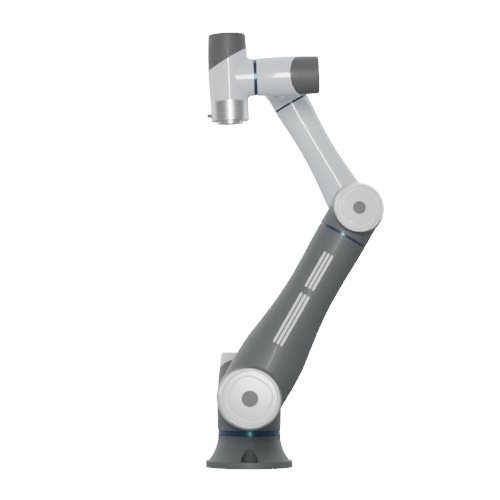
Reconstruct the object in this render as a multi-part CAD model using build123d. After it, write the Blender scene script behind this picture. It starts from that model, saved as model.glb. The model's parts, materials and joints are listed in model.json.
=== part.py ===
from build123d import *
from dataclasses import dataclass
from math import cos, radians, sin
import os

# Six-axis collaborative robot arm with a reach of 1000 mm and a payload of about 16 kg.
#
# The origin is the centre of the base's underside. +Z is up, along joint 1's axis. The upper arm
# stands on the -Y side of the base, and leans towards +X. Every length is in millimetres.
#
# Each joint is a drive module: a barrel-shaped casing with a motor and a strain wave gear in it. One
# end, the foot, turns on the neighbouring link, with a coloured seal ring over the gap. The other end
# is closed by a cap on a slanted joint line. A port on the casing's side leads to the rest of its link.

# ---- Links and pose
SHOULDER_HEIGHT = 176.5  # underside to joint 2's axis
UPPER_ARM = 512.0  # joint 2 to joint 3
FOREARM = 363.0  # joint 3 to joint 4
WRIST = 125.0  # joint 4 to joint 6; the three add up to the reach
TOOL = 108.4  # joint 5 to the tool flange's face
ARM_PLANE = -186.0  # Y of the upper arm's axis
FOREARM_PLANE = -20.0  # Y of the forearm's axis
WRIST_PLANE = -191.0  # Y of joint 5's axis
ARM_LEAN = 29.9  # degrees from upright, towards +X
FOREARM_LEAN = 29.85  # degrees from upright, towards -X
WRIST_TILT = 2.4  # degrees that joint 5's axis rises towards +X

# ---- Casings
WALL = 6.0
SEAM = 0.5  # joint line between a casing and its cap
LIP = 4.0  # the cap's spigot, in depth and in thickness
RUNNING = 0.3  # gap at a face that turns on another
FIT = 0.1  # gap around a part that is seated in a bore

# ---- Base
BASE_R = 106.2
BASE_FLANGE = 17.5
FLARE_FOOT_R = 101.8
NECK_R = 76.9
BASE_TOP = 78.0
BASE_BORE_R = 66.0
PLATE_R = 80.0  # recess for the bottom plate
BASE_BOLT_PCD = 186.0
BASE_BOLT_R = 5.5  # clearance for M10
BASE_BOLTS = 4
SOCKET_AT = 60.0  # degrees from +X, between two bolts

# ---- Tool flange: outer spigot 63, inner pilot 31.5, four M6 on a 50 circle
FLANGE_R = 45.2
FLANGE_FACE_R = 31.5
PILOT_R = 15.75
PILOT_DEPTH = 6.0
FLANGE_PCD = 50.0
FLANGE_THREAD_R = 2.5
FLANGE_THREAD_DEPTH = 12.0
DOWEL_R = 3.0
END_RING = 18.5  # height of the grooved ring above the flange
SPIGOT = 6.4  # height of the outer spigot

UP = Vector(0, 0, 1)
BACK = Vector(0, 1, 0)
ALONG_ARM = Vector(sin(radians(ARM_LEAN)), 0, cos(radians(ARM_LEAN)))
ALONG_FOREARM = Vector(-sin(radians(FOREARM_LEAN)), 0, cos(radians(FOREARM_LEAN)))
ALONG_WRIST = Vector(cos(radians(WRIST_TILT)), 0, sin(radians(WRIST_TILT)))
WRIST_UP = Vector(-sin(radians(WRIST_TILT)), 0, cos(radians(WRIST_TILT)))

SHOULDER_AT = Vector(0, 0, SHOULDER_HEIGHT)
JOINT_2_AT = SHOULDER_AT + BACK * ARM_PLANE
JOINT_3_AT = JOINT_2_AT + ALONG_ARM * UPPER_ARM
KNUCKLE_AT = JOINT_3_AT + BACK * (FOREARM_PLANE - ARM_PLANE)
JOINT_4_AT = KNUCKLE_AT + ALONG_FOREARM * FOREARM
JOINT_5_AT = JOINT_4_AT + BACK * (WRIST_PLANE - FOREARM_PLANE)
JOINT_6_AT = JOINT_5_AT - ALONG_WRIST * WRIST


@dataclass
class Module:
    """A drive module. Its frame's Z is the joint's axis, towards the cap, and X points out of the port."""

    frame: Plane
    below: float  # from the port's axis to the foot
    above: float  # from the port's axis to the cap's end
    foot_r: float
    belly_r: float  # largest radius, at belly_at along the axis
    belly_at: float
    end_r: float
    bore_r: float
    port_r: float
    port_length: float
    split_at: float  # where the joint line crosses the axis
    split_rise: float  # rise of the joint line per millimetre towards the port
    seal: float  # thickness of the ring between the foot and the next link
    stator: float  # length of the motor's core


J1 = Module(
    frame=Plane(SHOULDER_AT, x_dir=-BACK, z_dir=UP),
    below=85.0, above=103.5, foot_r=76.8, belly_r=78.4, belly_at=-15.0, end_r=67.6, bore_r=63.5,
    port_r=75.0, port_length=86.0, split_at=58.0, split_rise=0.5, seal=13.5, stator=50.0,
)
J2 = Module(
    frame=Plane(JOINT_2_AT, x_dir=ALONG_ARM, z_dir=-BACK),
    below=87.0, above=103.5, foot_r=76.8, belly_r=78.6, belly_at=-15.0, end_r=67.6, bore_r=63.5,
    port_r=77.0, port_length=437.6, split_at=60.0, split_rise=0.42, seal=13.0, stator=50.0,
)
J3 = Module(
    frame=Plane(JOINT_3_AT, x_dir=-ALONG_ARM, z_dir=-BACK),
    below=64.0, above=80.5, foot_r=61.8, belly_r=63.4, belly_at=-11.0, end_r=54.4, bore_r=49.0,
    port_r=60.9, port_length=69.0, split_at=46.5, split_rise=0.42, seal=10.0, stator=34.0,
)
J4 = Module(
    frame=Plane(JOINT_4_AT, x_dir=-ALONG_FOREARM, z_dir=BACK),
    below=94.0, above=86.0, foot_r=44.0, belly_r=46.6, belly_at=10.0, end_r=43.0, bore_r=38.0,
    port_r=44.5, port_length=54.5, split_at=46.0, split_rise=0.56, seal=8.0, stator=26.0,
)
J5 = Module(
    frame=Plane(JOINT_5_AT, x_dir=BACK, z_dir=ALONG_WRIST),
    below=57.5, above=89.5, foot_r=44.6, belly_r=46.3, belly_at=34.0, end_r=44.4, bore_r=38.0,
    port_r=43.2, port_length=69.0, split_at=46.0, split_rise=0.56, seal=8.0, stator=26.0,
)
J6 = Module(
    frame=Plane(JOINT_6_AT, x_dir=ALONG_WRIST, z_dir=WRIST_UP),
    below=55.0, above=105.0, foot_r=45.2, belly_r=47.4, belly_at=30.0, end_r=43.9, bore_r=37.0,
    port_r=44.6, port_length=59.5, split_at=43.5, split_rise=0.56, seal=END_RING, stator=22.0,
)
MODULES = [J1, J2, J3, J4, J5, J6]

# Half-widths of the two links, as (distance from the lower joint, radius).
ARM_STATIONS = [
    (0, 77.0), (100, 78.2), (130, 75.9), (160, 71.4), (190, 67.2), (220, 63.5), (250, 60.6), (280, 58.8),
    (310, 58.4), (350, 58.7), (390, 60.0), (437.6, 60.9),
]
FOREARM_STATIONS = [
    (0, 50.0), (60, 47.4), (90, 44.4), (120, 41.7), (150, 39.8), (180, 39.1), (210, 39.4), (240, 40.6),
    (270, 42.7), (303.9, 44.5),
]
PAD_TURN = 15.0  # corner of the covers' pads from +X, in degrees
PAD_HEIGHT = 3.0
ARM_RING = 5.4
FOREARM_RING = 4.6
KNUCKLE_R = 58.5
KNUCKLE_FRONT = 92.0  # from the forearm's axis to the elbow's seal ring
KNUCKLE_BACK = 58.0


def tube(outer, inner, low, high):
    """A ring about Z from low to high."""
    ring = Cylinder(outer, high - low, align=(Align.CENTER, Align.CENTER, Align.MIN))
    if inner:
        ring -= Cylinder(inner, high - low, align=(Align.CENTER, Align.CENTER, Align.MIN))
    return Pos(0, 0, low) * ring


def along_x(solid):
    """A solid about Z, laid along X."""
    return Rot(0, 90, 0) * solid


def place(module, solid):
    return solid.moved(module.frame.location)


def around(count, radius, start=0.0):
    """Places on a circle about Z."""
    return [Rot(0, 0, start + 360 * i / count) * Pos(radius, 0, 0) for i in range(count)]


def barrel(m):
    """The casing's outer form, with its cap, before the port is added."""
    foot, end = (-m.foot_r, -m.below), (-m.end_r, m.above)
    side = ThreePointArc(foot, (-m.belly_r, m.belly_at), end)
    rest = Polyline(end, (0, m.above), (0, -m.below), foot)
    return revolve(make_face(Plane.XZ * (side + rest)), Axis.Z)


def turned(stations, inset=0.0):
    """A body of revolution about X through (distance, radius) stations."""
    points = [(s, inset - r) for s, r in stations]
    rest = Polyline(points[-1], (points[-1][0], 0), (points[0][0], 0), points[0])
    return revolve(make_face(Plane.XZ * (Spline(*points) + rest)), Axis.X)


def joined(body, branch, radius):
    """Body and branch as one casting, with a rounded inside corner between them."""
    whole = body + branch
    return fillet(new_edges(body, branch, combined=whole), radius)


def end_edges(solid, height):
    """The edges that lie wholly at one height."""
    low, high = height - 0.01, height + 0.01
    return [e for e in solid.edges() if low < e.bounding_box().min.Z and e.bounding_box().max.Z < high]


def joint_line(m, offset):
    """The slanted plane between casing and cap, moved by offset towards the cap."""
    tilt = Vector(-m.split_rise, 0, 1).normalized()
    return Plane(Vector(0, 0, m.split_at) + tilt * offset, z_dir=tilt)


def casing_and_cap(m, outer, floor=5.0):
    """Splits a module's outer form into a bored casing and a cap with a spigot."""
    casing = split(outer, joint_line(m, -SEAM / 2), keep=Keep.BOTTOM)
    casing -= tube(m.bore_r, 0, -m.below, m.above)
    cap = split(outer, joint_line(m, SEAM / 2), keep=Keep.TOP)
    spigot = tube(m.bore_r - FIT, m.bore_r - LIP, -m.below, m.above - floor)
    spigot = split(spigot, joint_line(m, -LIP), keep=Keep.TOP)
    spigot = split(spigot, joint_line(m, SEAM), keep=Keep.BOTTOM)
    cap -= tube(m.bore_r - LIP, 0, -m.below, m.above - floor)
    return casing, cap + spigot


def seal_ring(m, radius):
    """The coloured ring that covers the gap at a module's foot. It turns on the next link's face."""
    ring = tube(radius, hub_r(m) + 1, -m.below - m.seal + RUNNING, -m.below - FIT / 2)
    return chamfer(end_edges(ring, -m.below - m.seal + RUNNING) + end_edges(ring, -m.below - FIT / 2), 0.4)


def hub_r(m):
    """Radius of the gear's output hub."""
    return m.bore_r * 0.62


# ---- Drive modules: what turns inside each casing


def drive(m):
    """The five inner pieces of one joint: gear output, gear ring, stator, rotor and board."""
    foot = -m.below
    hub, shaft = hub_r(m), m.bore_r * 0.22
    cup, cup_wall = hub - 1, 1.5
    air_gap = 0.7
    rotor_r = m.bore_r * 0.55
    core_low, core_high = foot + 40, foot + 36 + m.stator

    output = tube(hub, shaft + 1, foot - m.seal, foot + 8)
    output += tube(cup, cup - cup_wall, foot + 8, foot + 30)
    for spot in around(8, (hub + shaft) / 2):
        output -= spot * tube(1.6, 0, foot - m.seal, foot - m.seal + 10)

    bearing = tube(m.bore_r - FIT, hub + 0.6, foot + 1, foot + 14)
    toothed = tube(m.bore_r - FIT, cup + 0.5, foot + 14.5, foot + 28)
    for spot in around(12, (m.bore_r + hub) / 2):
        toothed -= spot * tube(1.4, 0, foot + 14.5, foot + 28)

    rotor = tube(shaft, shaft - 2.2, foot + 12, core_high + 18)
    rotor += tube(cup - cup_wall - 0.6, shaft - 0.5, foot + 17, foot + 27)
    rotor += tube(rotor_r, shaft - 0.5, core_low - 1, core_high + 1)

    core = tube(m.bore_r - FIT, rotor_r + air_gap, core_low, core_high)
    coil_low = tube(m.bore_r - 7, rotor_r + 2.5, core_low - 5, core_low)
    coil_high = tube(m.bore_r - 7, rotor_r + 2.5, core_high, core_high + 5)

    brake = tube(shaft + 9, shaft + 1.2, core_high + 7, core_high + 13)
    board = tube(m.bore_r - LIP - 1, shaft + 1.2, core_high + 13.5, core_high + 15.1)
    parts = [place(m, chip) for chip in board_parts(m, core_high + 15.1, shaft)]
    return {
        "gear_output": place(m, output),
        "gear_ring": Compound([place(m, bearing), place(m, toothed)]),
        "motor_stator": Compound([place(m, s) for s in (core, coil_low, coil_high)]),
        "motor_rotor": place(m, rotor),
        "drive_board": Compound([place(m, brake), place(m, board), *parts]),
    }


def board_parts(m, top, shaft):
    """Capacitors and chips on the drive board, clear of the shaft."""
    middle = (m.bore_r - LIP + shaft) / 2
    cans = [spot * tube(m.bore_r * 0.08, 0, top, top + 6) for spot in around(3, middle, 30)]
    chip = Pos(0, 0, top + 1) * Box(m.bore_r * 0.18, m.bore_r * 0.18, 2)
    chips = [spot * chip for spot in around(3, middle, 90)]
    return cans + chips


# ---- Base


def base_parts():
    arc = ThreePointArc((FLARE_FOOT_R, BASE_FLANGE), (86.2, 40), (NECK_R, 68))
    rest = Polyline(
        (NECK_R, 68), (NECK_R, BASE_TOP), (0, BASE_TOP), (0, 0), (BASE_R, 0),
        (BASE_R, BASE_FLANGE), (FLARE_FOOT_R, BASE_FLANGE),
    )
    casting = revolve(make_face(Plane.XZ * (arc + rest)), Axis.Z)
    boss = Pos(66, 0, 41) * Box(60, 46, 40)
    casting += Rot(0, 0, SOCKET_AT) * (fillet(boss.edges().filter_by(Axis.X), 6) & tube(97, 0, 0, BASE_TOP))
    casting -= tube(BASE_BORE_R, 0, 3.5, BASE_TOP - 8)
    casting -= tube(PLATE_R, 0, 0, 3.5)
    casting -= tube(20, 0, BASE_TOP - 8, BASE_TOP)
    pocket = Cone(22.0, 6.0, 46, align=(Align.CENTER, Align.CENTER, Align.MIN))
    for spot in around(BASE_BOLTS, BASE_BOLT_PCD / 2, 270):
        casting -= spot * Pos(0, 0, BASE_FLANGE) * pocket
        casting -= spot * tube(BASE_BOLT_R, 0, 0, BASE_FLANGE)
    rim = end_edges(casting, BASE_FLANGE)
    casting = chamfer([e for e in rim if e.bounding_box().size.X > 2 * FLARE_FOOT_R + 1], 1.0)

    plate = tube(PLATE_R - 0.2, 0, 0.5, 3.4)
    for spot in around(6, 73):
        plate -= spot * tube(1.7, 0, 0.5, 3.4)

    way = Vector(cos(radians(SOCKET_AT)), sin(radians(SOCKET_AT)), 0)
    socket_at = Plane(way * 92 + UP * 41, x_dir=UP.cross(way), z_dir=way)
    casting -= (tube(15, 0, -40, 6) + Pos(0, 0, 10) * Box(60, 60, 20)).moved(socket_at.location)
    socket = tube(14.8, 11, -12, 0) + fillet(extrude(Rectangle(42, 34), 2.5).edges().filter_by(Axis.Z), 5)
    socket = socket - tube(11, 0, -12, 3) + tube(14.5, 11, 2.5, 12) + tube(11, 0, -12, 10.5)
    screw_spots = [(x, y) for x in (-16.5, 16.5) for y in (-12.5, 12.5)]
    for x, y in screw_spots:
        socket -= Pos(x, y, 0) * tube(1.8, 0, 0, 2.5)
    for spot in around(8, 7):
        socket -= spot * tube(1.0, 0, 2, 10.5)
    screws = [Pos(x, y, 0) * screw(1.7, 3.0, 2.5, 2.5) for x, y in screw_spots]
    return {
        "base_casting": casting,
        "base_bottom_plate": plate,
        "base_cable_socket": socket.moved(socket_at.location),
        "base_socket_screws": Compound([s.moved(socket_at.location) for s in screws]),
    }


def screw(shank_r, head_r, head, plate):
    """A socket screw with its head on a plate: the plate's top is at the given height above zero."""
    body = tube(shank_r, 0, 0.05, plate) + tube(head_r, 0, plate, plate + head)
    recess = extrude(RegularPolygon(head_r * 0.5, 6), head * 0.6)
    return body - Pos(0, 0, plate + head * 0.4) * recess


# ---- Shoulder, which turns on the base


def shoulder_parts():
    port = along_x(tube(J1.port_r, 0, 0, J1.port_length))
    outer = joined(barrel(J1), port, 7)
    outer = fillet(end_edges(outer, J1.above), 5)
    casing, cap = casing_and_cap(J1, outer)
    casing -= along_x(tube(J1.port_r - WALL, 0, 0, J1.port_length - 8))
    casing -= along_x(tube(18, 0, 0, J1.port_length))
    return {
        "shoulder_housing": place(J1, casing),
        "shoulder_cap": place(J1, cap),
        "shoulder_seal_ring": place(J1, seal_ring(J1, 76.2)),
    }


# ---- Upper arm: joint 2's casing, the arm, joint 3's casing


def cover_boss(m, cap, half, corner):
    """The raised pad in the middle of a joint cover, a square with very round corners, with a badge seat."""
    level = m.frame.x_dir.get_signed_angle(Vector(1, 0, 0), m.frame.z_dir)
    turn = Rot(0, 0, level + PAD_TURN - 45)
    pad = turn * extrude(RectangleRounded(2 * half, 2 * half, corner), PAD_HEIGHT)
    pad = fillet(end_edges(pad, PAD_HEIGHT), PAD_HEIGHT - 0.3)
    seat = tube(badge_r(m), 0, m.above + PAD_HEIGHT - 1.2, m.above + PAD_HEIGHT)
    return cap + Pos(0, 0, m.above) * pad - seat


def badge_r(m):
    return m.bore_r * 0.31


def badge(m):
    """A plain round badge with one groove."""
    low, high = m.above + PAD_HEIGHT - 1.2, m.above + PAD_HEIGHT + 0.4
    return tube(badge_r(m) - FIT, 0, low, high) - tube(badge_r(m) * 0.72, badge_r(m) * 0.5, high - 0.7, high)


def upper_arm_parts():
    outer = joined(barrel(J2), turned(ARM_STATIONS), 8)
    outer = fillet(end_edges(outer, J2.above), 6.5)
    casing, cover = casing_and_cap(J2, outer)
    casing -= turned([s for s in ARM_STATIONS if s[0] > 50], WALL)
    cover = cover_boss(J2, cover, 48.5, 36)

    port = along_x(tube(J3.port_r, 0, 0, J3.port_length))
    elbow = joined(barrel(J3), port, 7)
    elbow = fillet(end_edges(elbow, J3.above), 5)
    elbow_casing, elbow_cover = casing_and_cap(J3, elbow)
    elbow_casing -= along_x(tube(J3.port_r - WALL, 0, 20, J3.port_length))
    elbow_cover = cover_boss(J3, elbow_cover, 38.5, 29)
    ring = along_x(tube(60.3, 50, J3.port_length, J3.port_length + ARM_RING))
    return {
        "upper_arm_shell": place(J2, casing),
        "shoulder_joint_cover": place(J2, cover),
        "shoulder_joint_seal_ring": place(J2, seal_ring(J2, 75.8)),
        "upper_arm_ring": place(J3, ring),
        "elbow_housing": place(J3, elbow_casing),
        "elbow_joint_cover": place(J3, elbow_cover),
        "elbow_seal_ring": place(J3, seal_ring(J3, 60.2)),
        "cover_badges": Compound([place(J2, badge(J2)), place(J3, badge(J3))]),
    }


# ---- Forearm: the knuckle behind the elbow, the arm, joint 4's casing


def forearm_parts():
    at = Plane(KNUCKLE_AT, x_dir=ALONG_FOREARM, z_dir=-BACK)
    knuckle = tube(KNUCKLE_R, 0, -KNUCKLE_BACK, KNUCKLE_FRONT)
    shell = joined(knuckle, turned(FOREARM_STATIONS), 7)
    shell = fillet(end_edges(shell, -KNUCKLE_BACK), 16)
    shell -= tube(KNUCKLE_R - WALL, 0, -KNUCKLE_BACK + 18, KNUCKLE_FRONT - 8)
    shell -= tube(16, 0, 0, KNUCKLE_FRONT)
    shell -= turned([s for s in FOREARM_STATIONS if s[0] > 50], WALL)

    port = along_x(tube(J4.port_r, 0, 0, J4.port_length))
    outer = joined(barrel(J4), port, 7)
    outer = fillet(end_edges(outer, J4.above), 5)
    casing, cap = casing_and_cap(J4, outer, floor=4)
    casing -= along_x(tube(J4.port_r - WALL, 0, 20, J4.port_length))
    ring = along_x(tube(44.0, 36, J4.port_length, J4.port_length + FOREARM_RING))
    return {
        "forearm_shell": shell.moved(at.location),
        "forearm_ring": place(J4, ring),
        "wrist_1_housing": place(J4, casing),
        "wrist_1_cap": place(J4, cap),
        "wrist_1_seal_ring": place(J4, seal_ring(J4, 43.2)),
    }


# ---- Wrist


def wrist_module(m):
    """A wrist casing and cap, with an end wall in its port for the module before it."""
    port = along_x(tube(m.port_r, 0, 0, m.port_length))
    outer = joined(barrel(m), port, 8)
    outer = fillet(end_edges(outer, m.above), 5)
    casing, cap = casing_and_cap(m, outer, floor=4)
    casing -= along_x(tube(m.port_r - WALL, 0, 20, m.port_length - WALL))
    casing -= along_x(tube(10, 0, 20, m.port_length))
    return place(m, casing), place(m, cap)


def wrist_2_parts():
    casing, cap = wrist_module(J5)
    return {
        "wrist_2_housing": casing,
        "wrist_2_cap": cap,
        "wrist_2_seal_ring": place(J5, seal_ring(J5, 43.2)),
    }


def wrist_3_parts():
    casing, cap = wrist_module(J6)
    foot = -J6.below
    ring = tube(45.0, hub_r(J6) + 1, foot - END_RING + RUNNING, foot - FIT / 2)
    for drop in (2.6, 8.6, 13.4):
        ring -= tube(50, 44.2, foot - drop - 1.1, foot - drop)
    return {
        "wrist_3_housing": casing,
        "wrist_3_cap": cap,
        "wrist_3_end_ring": place(J6, ring),
    }


# ---- Tool flange


def tool_parts():
    top = -J6.below - END_RING
    face = -TOOL
    shoulder = face + SPIGOT
    flange = tube(FLANGE_R, 0, shoulder, top)
    flange = chamfer(end_edges(flange, shoulder), 1.2) + tube(FLANGE_FACE_R, 0, face, shoulder)
    flange -= tube(PILOT_R, 0, face, face + PILOT_DEPTH)
    flange -= tube(9, 0, face, top)
    for spot in around(4, FLANGE_PCD / 2, 45):
        flange -= spot * tube(FLANGE_THREAD_R, 0, face, face + FLANGE_THREAD_DEPTH)
    flange -= Pos(0, -FLANGE_PCD / 2, 0) * tube(DOWEL_R, 0, face, face + 8)
    screw_spots = around(6, 37.4, 30)
    for spot in screw_spots:
        flange -= spot * tube(2.9, 0, shoulder, shoulder + 3.4)
        flange -= spot * tube(1.6, 0, shoulder + 3.4, top)
    head = Pos(0, 0, shoulder + 3.35) * Rot(180, 0, 0) * screw(1.5, 2.7, 2.8, 0.1)
    shank = tube(1.5, 0, shoulder + 3.3, top - 4)
    screws = [spot * (head + shank) for spot in screw_spots]

    side = Plane((-FLANGE_R, 0, face + 20.9), x_dir=(0, 1, 0), z_dir=(-1, 0, 0))
    flange -= tube(5.2, 0, -9, 4).moved(side.location)
    socket = tube(5.1, 0, -8.5, -1) + tube(4.6, 0, -1, 9) + tube(5.6, 4.4, 0.8, 3.0) - tube(3.6, 0, 8, 9)
    for spot in around(4, 1.8):
        socket -= spot * tube(0.45, 0, 3, 8)
    return {
        "tool_flange": place(J6, flange),
        "flange_screws": place(J6, Compound(screws)),
        "tool_socket": place(J6, socket.moved(side.location)),
    }


def main():
    parts = {
        **base_parts(), **shoulder_parts(), **upper_arm_parts(), **forearm_parts(),
        **wrist_2_parts(), **wrist_3_parts(), **tool_parts(),
    }
    for number, module in enumerate(MODULES, 1):
        for name, shape in drive(module).items():
            parts[f"j{number}_{name}"] = shape
    os.makedirs("parts", exist_ok=True)
    for name, shape in parts.items():
        export_step(shape, f"parts/{name}.step")
    print(len(parts), "nodes")


main()
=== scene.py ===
import bmesh
import bpy
import json
from math import cos, pi, radians, sin
from mathutils import Matrix, Vector
from mathutils.bvhtree import BVHTree


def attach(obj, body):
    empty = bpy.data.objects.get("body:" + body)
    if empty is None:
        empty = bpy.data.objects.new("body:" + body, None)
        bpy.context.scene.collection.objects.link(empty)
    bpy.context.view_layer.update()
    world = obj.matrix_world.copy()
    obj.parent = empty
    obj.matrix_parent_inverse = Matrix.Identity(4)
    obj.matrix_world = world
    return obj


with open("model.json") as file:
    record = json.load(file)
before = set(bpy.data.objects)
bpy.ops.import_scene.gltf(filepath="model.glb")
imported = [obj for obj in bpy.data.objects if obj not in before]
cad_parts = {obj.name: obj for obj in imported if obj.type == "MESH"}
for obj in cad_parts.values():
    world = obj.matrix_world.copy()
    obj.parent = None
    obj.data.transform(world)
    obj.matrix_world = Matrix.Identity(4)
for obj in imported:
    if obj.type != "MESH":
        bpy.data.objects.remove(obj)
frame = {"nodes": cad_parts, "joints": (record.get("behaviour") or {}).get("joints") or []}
nodes = frame["nodes"]
joints = {j["name"]: j for j in frame["joints"]}
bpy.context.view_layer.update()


# ---- Materials


class Nodes:
    """A small helper for building one material's nodes."""

    def __init__(self, name):
        self.material = bpy.data.materials.new(name)
        self.material.use_nodes = True
        self.tree = self.material.node_tree
        self.shader = self.tree.nodes["Principled BSDF"]
        self.coords = self.add("ShaderNodeTexCoord").outputs["Object"]

    def add(self, kind, **settings):
        node = self.tree.nodes.new(kind)
        for key, value in settings.items():
            setattr(node, key, value)
        return node

    def link(self, a, b):
        self.tree.links.new(a, b)

    def noise(self, scale, detail=3.0, roughness=0.5, coords=None):
        node = self.add("ShaderNodeTexNoise")
        self.link(coords or self.coords, node.inputs["Vector"])
        node.inputs["Scale"].default_value = scale
        node.inputs["Detail"].default_value = detail
        node.inputs["Roughness"].default_value = roughness
        return node.outputs["Fac"]

    def spread(self, value, low, high, at=(0.3, 0.7)):
        """Maps a 0 to 1 value between at[0] and at[1] to low and high."""
        node = self.add("ShaderNodeMapRange")
        self.link(value, node.inputs["Value"])
        for key, number in zip(("From Min", "From Max", "To Min", "To Max"), (*at, low, high)):
            node.inputs[key].default_value = number
        return node.outputs["Result"]

    def mix(self, fac, a, b):
        node = self.add("ShaderNodeMix", data_type="RGBA")
        if isinstance(fac, float):
            node.inputs["Factor"].default_value = fac
        else:
            self.link(fac, node.inputs["Factor"])
        for socket, colour in ((node.inputs[6], a), (node.inputs[7], b)):
            if isinstance(colour, tuple):
                socket.default_value = (*colour, 1)
            else:
                self.link(colour, socket)
        return node.outputs[2]

    def bump(self, height, strength, distance):
        node = self.add("ShaderNodeBump")
        self.link(height, node.inputs["Height"])
        node.inputs["Strength"].default_value = strength
        node.inputs["Distance"].default_value = distance
        self.link(node.outputs["Normal"], self.shader.inputs["Normal"])

    def stretched(self, axis, along, across):
        """Object coordinates with a different scale along one axis and across it."""
        turn = Vector(axis).rotation_difference(Vector((0, 0, 1))).to_euler()
        node = self.add("ShaderNodeMapping")
        node.inputs["Rotation"].default_value = turn
        node.inputs["Scale"].default_value = (across, across, along)
        self.link(self.coords, node.inputs["Vector"])
        return node.outputs["Vector"]


def scaled(colour, k):
    return tuple(c * k for c in colour)


DUST = (0.6, 0.6, 0.6)


def paint(name, colour, rough, coat=0.0, gloss=0.5, grain=900.0, depth=0.00004, dust=0.03):
    """Sprayed or moulded finish: faint clouds in the colour, a fine orange peel, dust and rubbing."""
    n = Nodes(name)
    clouds = n.noise(7.0, 4.0)
    colour_out = n.mix(n.spread(clouds, 0.0, 1.0), scaled(colour, 0.965), scaled(colour, 1.035))
    specks = n.noise(420.0, 2.0)
    colour_out = n.mix(n.spread(specks, 0.0, dust, (0.62, 0.75)), colour_out, DUST)
    scuffs = n.noise(1.0, 6.0, 0.7, n.stretched((0.5, 0, 0.86), 18.0, 70.0))
    colour_out = n.mix(n.spread(scuffs, 0.0, 0.02, (0.60, 0.72)), colour_out, DUST)
    n.link(colour_out, n.shader.inputs["Base Color"])
    peel = n.noise(grain, 2.0)
    smears = n.noise(22.0, 5.0, 0.6)
    n.link(n.spread(smears, rough - 0.04, rough + 0.06), n.shader.inputs["Roughness"])
    n.bump(peel, 0.15, depth)
    n.shader.inputs["Specular IOR Level"].default_value = gloss
    n.shader.inputs["Coat Weight"].default_value = coat
    n.shader.inputs["Coat Roughness"].default_value = 0.09
    return n.material


def metal(name, colour, rough, axis, lines=2600.0, depth=0.00003):
    """Turned metal: fine tool lines round an axis, with faint stains."""
    n = Nodes(name)
    tool_lines = n.noise(1.0, 3.0, 0.6, n.stretched(axis, lines, 8.0))
    stains = n.noise(30.0, 4.0)
    base = n.mix(n.spread(tool_lines, 0.0, 1.0), scaled(colour, 0.9), scaled(colour, 1.06))
    base = n.mix(n.spread(stains, 0.0, 0.25, (0.45, 0.75)), base, scaled(colour, 0.8))
    n.link(base, n.shader.inputs["Base Color"])
    n.link(n.spread(tool_lines, rough - 0.05, rough + 0.08), n.shader.inputs["Roughness"])
    n.shader.inputs["Metallic"].default_value = 1.0
    n.bump(tool_lines, 0.3, depth)
    return n.material


def winding(name, axis):
    """A motor core: thin laminations with copper showing between them."""
    n = Nodes(name)
    layers = n.noise(1.0, 2.0, 0.5, n.stretched(axis, 1400.0, 3.0))
    wires = n.noise(1.0, 2.0, 0.5, n.stretched(axis, 60.0, 900.0))
    base = n.mix(n.spread(wires, 0.0, 1.0, (0.42, 0.58)), (0.17, 0.16, 0.155), (0.42, 0.17, 0.07))
    base = n.mix(n.spread(layers, 0.0, 0.5), base, (0.05, 0.05, 0.05))
    n.link(base, n.shader.inputs["Base Color"])
    n.link(n.spread(layers, 0.35, 0.55), n.shader.inputs["Roughness"])
    n.shader.inputs["Metallic"].default_value = 0.8
    n.bump(wires, 0.4, 0.0002)
    return n.material


def circuit(name):
    """A circuit board: green lacquer with copper tracks under it."""
    n = Nodes(name)
    bricks = n.add("ShaderNodeTexBrick")
    n.link(n.coords, bricks.inputs["Vector"])
    bricks.inputs["Scale"].default_value = 160.0
    bricks.inputs["Mortar Size"].default_value = 0.03
    bricks.inputs["Color1"].default_value = (0.010, 0.10, 0.045, 1)
    bricks.inputs["Color2"].default_value = (0.012, 0.12, 0.055, 1)
    bricks.inputs["Mortar"].default_value = (0.05, 0.22, 0.10, 1)
    base = n.mix(n.spread(n.noise(60.0), 0.0, 0.3), bricks.outputs["Color"], (0.02, 0.05, 0.03))
    n.link(base, n.shader.inputs["Base Color"])
    n.link(n.spread(n.noise(90.0), 0.25, 0.4), n.shader.inputs["Roughness"])
    n.bump(bricks.outputs["Fac"], 0.3, 0.0001)
    return n.material


DARK = (0.072, 0.078, 0.079)
LIGHT = (0.52, 0.565, 0.60)
COVER = (0.465, 0.495, 0.515)
BASE = (0.063, 0.070, 0.071)
CAP = (0.067, 0.069, 0.071)
SEAL = (0.019, 0.026, 0.055)
TOOL_AXIS = joints["joint_6_wrist_3"]["axis"]

dark_paint = paint("grey_paint", DARK, 0.5, coat=0.02, gloss=0.15)
base_paint = paint("base_paint", BASE, 0.5, gloss=0.15, grain=700.0, depth=0.00006)
light_paint = paint("light_paint", LIGHT, 0.5, coat=0.65, gloss=0.15)
cover_white = paint("cover_plastic", COVER, 0.45, coat=0.5, gloss=0.2, grain=1300.0, depth=0.00002)
cap_dark = paint("cap_plastic", CAP, 0.5, coat=0.012, gloss=0.12, grain=1300.0)
seal_blue = paint("seal_ring", SEAL, 0.2, gloss=0.3, grain=1500.0, depth=0.00001, dust=0.005)
seal_blue.node_tree.nodes["Principled BSDF"].inputs["Specular Tint"].default_value = (0.2, 0.85, 1.0, 1)
badge_dark = paint("badge_plastic", (0.1, 0.105, 0.11), 0.5, gloss=0.1)
# near-white for the beads on the covers' edges: a painted highlight, far lighter than the covers
# themselves
painted_highlight_white = paint("cover_edge_highlight", (0.94, 0.95, 0.96), 0.4, coat=0.6)
print_light = paint("print", (0.62, 0.64, 0.65), 0.5, dust=0.01)
socket_black = paint("socket_plastic", (0.018, 0.018, 0.020), 0.45)
flange_metal = metal("flange_metal", (0.48, 0.495, 0.505), 0.28, TOOL_AXIS, depth=0.000012)
plate_metal = metal("plate_metal", (0.42, 0.43, 0.44), 0.4, (1, 0, 0), lines=900.0)
screw_steel = metal("screw_steel", (0.52, 0.52, 0.50), 0.34, (0, 0, 1), lines=1800.0)

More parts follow.
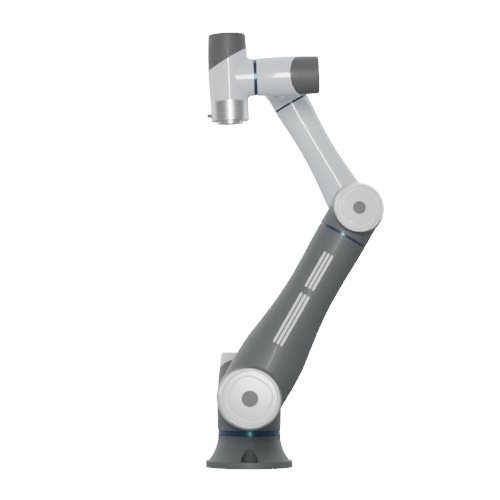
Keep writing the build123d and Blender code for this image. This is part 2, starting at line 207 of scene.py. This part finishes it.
PAINTS = {
    "base_casting": base_paint, "base_bottom_plate": plate_metal, "base_cable_socket": socket_black,
    "base_socket_screws": screw_steel, "cover_badges": badge_dark, "flange_screws": screw_steel,
    "wrist_3_end_ring": flange_metal, "tool_flange": flange_metal, "tool_socket": socket_black,
    "shoulder_cap": cover_white, "shoulder_joint_cover": cover_white, "elbow_joint_cover": cover_white,
    "shoulder_housing": dark_paint, "upper_arm_shell": dark_paint, "elbow_housing": dark_paint,
    "forearm_shell": light_paint, "wrist_1_housing": light_paint, "wrist_2_housing": light_paint,
    "wrist_3_housing": light_paint,
    "wrist_1_cap": cap_dark, "wrist_2_cap": cap_dark, "wrist_3_cap": cap_dark,
}


def dress(name, material):
    mesh = nodes[name].data
    mesh.materials.clear()
    mesh.materials.append(material)


for name in nodes:
    if name in PAINTS:
        dress(name, PAINTS[name])
    elif name.endswith("ring") and not name.startswith("j"):
        dress(name, seal_blue)

for number, joint in enumerate(frame["joints"], 1):
    axis = joint["axis"]
    gear_steel = metal(f"gear_steel_{number}", (0.50, 0.50, 0.49), 0.3, axis, lines=1500.0)
    output_steel = metal(f"output_steel_{number}", (0.55, 0.55, 0.53), 0.26, axis)
    rotor_steel = metal(f"rotor_steel_{number}", (0.42, 0.42, 0.43), 0.36, axis, lines=600.0)
    dress(f"j{number}_gear_output", output_steel)
    dress(f"j{number}_gear_ring", gear_steel)
    dress(f"j{number}_motor_stator", winding(f"winding_{number}", axis))
    dress(f"j{number}_motor_rotor", rotor_steel)
    dress(f"j{number}_drive_board", circuit(f"board_{number}"))


# ---- Printed marks on the upper arm's front: plain bars in place of lettering


BAR_HEIGHT = 0.0056
BAR_ROWS = (-0.002, 0.0075, 0.017)  # across the arm, from its axis
BARS = ((0.2075, 0.135), (0.3375, 0.095))  # middle, up the arm from the shoulder's axis, and length
BAR_STEPS = 36
BAR_COLUMNS = 4
BAR_PROUD = 0.00012
BAR_SUNK = 0.0002
FRONT = Vector((0, -1, 0))


def half_height(u, length):
    """Half a bar's height at u from its middle. Its ends are round."""
    r = BAR_HEIGHT / 2
    end = length / 2 - abs(u)
    return r if end >= r else max(r * r - (r - end) ** 2, 0.0) ** 0.5


def points_under(tree, start, along, side, length):
    """Rows of points, with their normals, on the arm's front where one bar lies."""
    rows = []
    for i in range(BAR_STEPS + 1):
        u = -length / 2 + length * i / BAR_STEPS
        row = []
        for j in range(BAR_COLUMNS + 1):
            v = half_height(u, length) * (2 * j / BAR_COLUMNS - 1)
            hit, normal, _, _ = tree.ray_cast(start + along * u + side * v, -FRONT)
            row.append((hit, normal))
        rows.append(row)
    return rows


def add_bar(bm, rows):
    """A thin closed plate that follows the rows of points."""
    top = [[bm.verts.new(p + n * BAR_PROUD) for p, n in row] for row in rows]
    low = [[bm.verts.new(p - n * BAR_SUNK) for p, n in row] for row in rows]
    for layer in (top, low):
        for i in range(BAR_STEPS):
            for j in range(BAR_COLUMNS):
                bm.faces.new((layer[i][j], layer[i][j + 1], layer[i + 1][j + 1], layer[i + 1][j]))
    for i in range(BAR_STEPS):
        for j in (0, BAR_COLUMNS):
            bm.faces.new((top[i][j], top[i + 1][j], low[i + 1][j], low[i][j]))


def new_piece(name, bm, material):
    """A closed piece from the mesh being edited, which rides on the upper arm."""
    bmesh.ops.remove_doubles(bm, verts=bm.verts, dist=1e-7)
    bmesh.ops.recalc_face_normals(bm, faces=bm.faces)
    mesh = bpy.data.meshes.new(name)
    bm.to_mesh(mesh)
    bm.free()
    mesh.materials.append(material)
    piece = bpy.data.objects.new(name, mesh)
    bpy.context.scene.collection.objects.link(piece)
    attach(piece, "upper_arm")


def printed_marks():
    shoulder = Vector(joints["joint_2_shoulder"]["pos_m"])
    along = (Vector(joints["joint_3_elbow"]["pos_m"]) - shoulder).normalized()
    side = FRONT.cross(along).normalized()
    tree = BVHTree.FromObject(nodes["upper_arm_shell"], bpy.context.evaluated_depsgraph_get())
    bm = bmesh.new()
    for across in BAR_ROWS:
        for up, length in BARS:
            start = shoulder + along * up + side * across + FRONT * 0.2
            add_bar(bm, points_under(tree, start, along, side, length))
    new_piece("printed_marks", bm, print_light)


printed_marks()


# ---- Raised edges on the two joint covers, in near-white as painted highlight lines


def rounded_square(half, corner, turn, steps=12):
    """Points and outward directions round a square with round corners, one of them at turn.

    Where half is the same as corner, it is a circle.
    """
    line = []
    for side in range(4):
        for i in range(steps + 1):
            a = turn + pi / 2 * (side + i / steps - 0.5)
            middle = Matrix.Rotation(turn + pi / 2 * side, 2) @ Vector((half - corner, 0)) * 2 ** 0.5
            out = Vector((cos(a), sin(a)))
            line.append((middle + out * corner, out))
    return line


def bead(name, joint, line, depth, radius, sides=8):
    """A round bead along a closed line, in front of a joint's axis. Its near-white colour is a painted
    highlight along the cover's edge.
    """
    centre = Vector(joints[joint]["pos_m"])
    bm = bmesh.new()
    loops = []
    for point, out in line:
        loop = []
        for i in range(sides):
            a = 2 * pi * i / sides
            flat = point + out * radius * cos(a)
            loop.append(bm.verts.new(centre + Vector((flat.x, -depth - radius * sin(a), flat.y))))
        loops.append(loop)
    for one, two in zip(loops, loops[1:] + loops[:1]):
        for i in range(sides):
            bm.faces.new((one[i], one[(i + 1) % sides], two[(i + 1) % sides], two[i]))
    for face in bm.faces:
        face.smooth = True
    new_piece(name, bm, painted_highlight_white)


PAD_TURN = radians(15)
# four near-white beads: painted highlight lines round the covers' pads and outer rims
bead("shoulder_pad_edge_highlight", "joint_2_shoulder", rounded_square(half=0.0492, corner=0.0367, turn=PAD_TURN),
     depth=0.1042, radius=0.0016)
bead("shoulder_cover_edge", "joint_2_shoulder", rounded_square(half=0.0667, corner=0.0667, turn=0),
     depth=0.1007, radius=0.0014)
bead("elbow_pad_edge_highlight", "joint_3_elbow", rounded_square(half=0.0391, corner=0.0296, turn=PAD_TURN),
     depth=0.0812, radius=0.0015)
bead("elbow_cover_edge", "joint_3_elbow", rounded_square(half=0.0537, corner=0.0537, turn=0),
     depth=0.0783, radius=0.0013)


# ---- Floor, light and camera

KEY_POWER = 350
KEY_AT = (-0.8, -5.2, 1.85)
STRIP_POWER = 330
STRIP_AT = (0.15, -4.2, 0.95)
LOW_POWER = 95
LOW_AT = Vector((0.2, -3.6, 0.16))
BACKDROP_GLOW = 24.0  # what the camera sees behind and under the object
FLOOR_DROP = 0.0005  # keeps the floor clear of the base's underside
FLOOR_HALF = 30
CAMERA_AT = (-0.034, -5.57, 0.358)
CAMERA_RISE = radians(1.765)
CAMERA_TURN = radians(-0.37)
LENS = 164.1


def seen(tree, to_camera, to_object):
    """A value that is one number for what the camera sees, and another for what lights the object."""
    path = tree.nodes.new("ShaderNodeLightPath")
    mix = tree.nodes.new("ShaderNodeMix")
    tree.links.new(path.outputs["Is Camera Ray"], mix.inputs["Factor"])
    for socket, value in ((mix.inputs[2], to_object), (mix.inputs[3], to_camera)):
        if isinstance(value, float):
            socket.default_value = value
        else:
            tree.links.new(value, socket)
    return mix.outputs[0]


def floor():
    mesh = bpy.data.meshes.new("floor")
    h = FLOOR_HALF
    mesh.from_pydata([(-h, -h, 0), (h, -h, 0), (h, h, 0), (-h, h, 0)], [], [(0, 1, 2, 3)])
    plane = bpy.data.objects.new("floor", mesh)
    plane.location.z = -FLOOR_DROP
    bpy.context.scene.collection.objects.link(plane)
    n = Nodes("floor")
    clouds = n.spread(n.noise(0.6), 0.0, 1.0)
    n.link(n.mix(clouds, (0.34, 0.34, 0.34), (0.36, 0.36, 0.36)), n.shader.inputs["Base Color"])
    n.shader.inputs["Roughness"].default_value = 0.9
    n.shader.inputs["Specular IOR Level"].default_value = 0.1
    n.shader.inputs["Emission Color"].default_value = (1, 1, 1, 1)
    n.link(seen(n.tree, BACKDROP_GLOW, 0.0), n.shader.inputs["Emission Strength"])
    mesh.materials.append(n.material)


def aimed(place, target):
    return (Vector(target) - Vector(place)).to_track_quat("-Z", "Y").to_euler()


def lamp(name, place, target, size, power, glossy):
    """A soft lamp that either lights the surfaces or shows in them as a highlight."""
    light = bpy.data.lights.new(name, "AREA")
    light.shape = "RECTANGLE"
    light.size, light.size_y = size
    light.energy = power
    holder = bpy.data.objects.new(name, light)
    holder.visible_glossy = glossy
    holder.visible_diffuse = not glossy
    holder.location = place
    holder.rotation_euler = aimed(place, target)
    bpy.context.scene.collection.objects.link(holder)


def low_lamp():
    """A weak spot that fills the shadow under the shoulder, on the base."""
    light = bpy.data.lights.new("low_fill", "SPOT")
    light.energy = LOW_POWER
    light.spot_size = radians(9)
    light.spot_blend = 1.0
    light.shadow_soft_size = 0.2
    holder = bpy.data.objects.new("low_fill", light)
    holder.visible_glossy = False
    holder.location = LOW_AT
    holder.rotation_euler = aimed(LOW_AT, (0, -0.09, 0.04))
    bpy.context.scene.collection.objects.link(holder)


def graded(tree, value, low, high):
    """Maps value, from low[0] to high[0], to low[1] to high[1]."""
    node = tree.nodes.new("ShaderNodeMapRange")
    tree.links.new(value, node.inputs["Value"])
    for key, number in zip(("From Min", "To Min", "From Max", "To Max"), (*low, *high)):
        node.inputs[key].default_value = number
    return node.outputs["Result"]


def added(tree, *values):
    total = values[0]
    for value in values[1:]:
        node = tree.nodes.new("ShaderNodeMath")
        tree.links.new(total, node.inputs[0])
        tree.links.new(value, node.inputs[1])
        total = node.outputs[0]
    return total


def studio():
    """A pale room, dim on the camera's side and bright behind the object, with its lamps and floor."""
    world = bpy.data.worlds.new("studio")
    world.use_nodes = True
    tree = world.node_tree
    way = tree.nodes.new("ShaderNodeTexCoord").outputs["Generated"]
    split = tree.nodes.new("ShaderNodeSeparateXYZ")
    tree.links.new(way, split.inputs["Vector"])
    size = tree.nodes.new("ShaderNodeMath")
    size.operation = "ABSOLUTE"
    tree.links.new(split.outputs["X"], size.inputs[0])
    behind = graded(tree, split.outputs["Y"], (-0.1, 0.3), (0.3, 3.0))
    above = graded(tree, split.outputs["Z"], (0.2, 0.0), (0.9, 0.12))
    beside = graded(tree, size.outputs[0], (0.3, 0.0), (1.0, 0.2))
    room = added(tree, behind, above, beside)
    background = tree.nodes["Background"]
    background.inputs["Color"].default_value = (1, 1, 1, 1)
    tree.links.new(seen(tree, BACKDROP_GLOW, room), background.inputs["Strength"])
    bpy.context.scene.world = world
    lamp("key", KEY_AT, (0.1, -0.15, 0.5), (1.8, 1.8), KEY_POWER, glossy=False)
    lamp("strip", STRIP_AT, (0, -0.1, 0.5), (0.34, 1.8), STRIP_POWER, glossy=True)
    low_lamp()
    floor()


def camera():
    data = bpy.data.cameras.new("camera")
    data.sensor_width = 36.0
    data.lens = LENS
    data.clip_end = 100
    holder = bpy.data.objects.new("camera", data)
    holder.location = CAMERA_AT
    holder.rotation_euler = (pi / 2 + CAMERA_RISE, 0, CAMERA_TURN)
    bpy.context.scene.collection.objects.link(holder)
    bpy.context.scene.camera = holder


studio()
camera()
